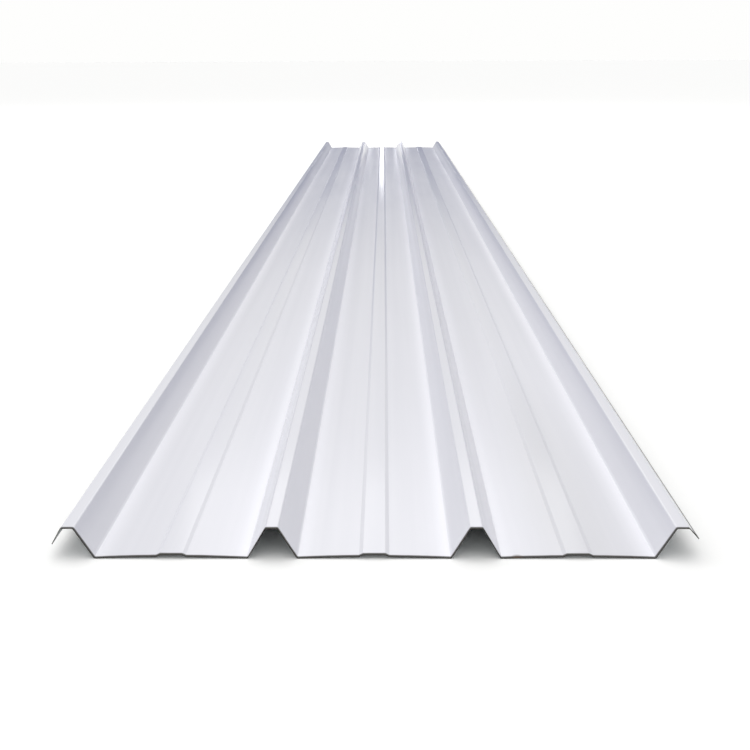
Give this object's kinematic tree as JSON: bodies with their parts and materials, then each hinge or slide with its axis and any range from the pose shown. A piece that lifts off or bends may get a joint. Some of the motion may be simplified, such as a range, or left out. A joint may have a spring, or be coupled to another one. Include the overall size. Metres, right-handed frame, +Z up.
{
  "type": "corrugated metal sheet",
  "caption": "Long trapezoidal-rib roofing sheet of light grey-white coil-coated steel, with a shallow raised stiffener along each pan and turned-down side-lap lips.",
  "frame": {"origin": "centre of the bounding box at the level of the pan undersides, halfway along the sheet", "axes": "+X across the sheet from the underlap edge to the overlap edge, +Y along the ribs, +Z up from the pans towards the rib tops"},
  "size_m": [0.79, 6, 0.041],
  "materials": {
    "coated_steel": "semi-gloss polyester coil coating, light grey-white"
  },
  "bodies": {
    "root": {"trapezoidal_sheet": "coated_steel"}
  },
  "joints": []
}
